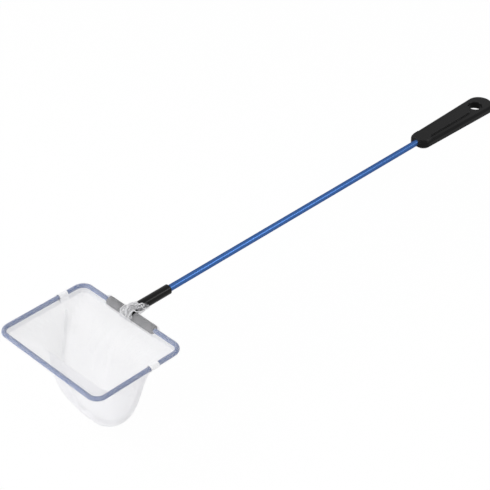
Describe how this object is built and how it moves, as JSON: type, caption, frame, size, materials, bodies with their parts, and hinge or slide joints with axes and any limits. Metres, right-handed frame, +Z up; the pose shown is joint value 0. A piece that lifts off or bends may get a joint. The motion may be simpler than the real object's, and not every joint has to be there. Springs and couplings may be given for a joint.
{
  "type": "aquarium fish net",
  "caption": "Long-handled aquarium net: flat grip with hang hole, slim tube, T-connector, rectangular wire loop in a sewn hem and a hanging fine-mesh bag.",
  "frame": {"origin": "centre of the hang hole in the grip, half way through the grip's plate", "axes": "+Y from the net to the end of the grip, along the tube; +Z up, square to the grip's flat; the bag hangs to -Z; +X across the loop"},
  "size_m": [0.1298, 0.5787, 0.0906],
  "materials": {
    "grip_black": "moulded satin black plastic",
    "tube_blue": "glossy blue lacquer on metal tube",
    "connector_black": "moulded satin black plastic",
    "wire_blue": "glossy blue vinyl coat on steel wire",
    "hem_mesh": "doubled white fine mesh, the wire shows through",
    "seam_white": "folded and stitched white mesh",
    "bag_mesh": "fine white translucent mesh"
  },
  "bodies": {
    "root": {"handle_grip": "grip_black", "rod_tube": "tube_blue", "t_connector": "connector_black", "frame_wire": "wire_blue", "hem_front": "hem_mesh", "hem_rear_left": "hem_mesh", "hem_rear_right": "hem_mesh", "hem_join_left": "seam_white", "hem_join_right": "seam_white", "net_front_panel": "bag_mesh", "net_rear_panel": "bag_mesh", "side_seam_left": "seam_white", "side_seam_right": "seam_white", "bottom_seam": "seam_white", "neck_gather": "bag_mesh"}
  },
  "joints": []
}
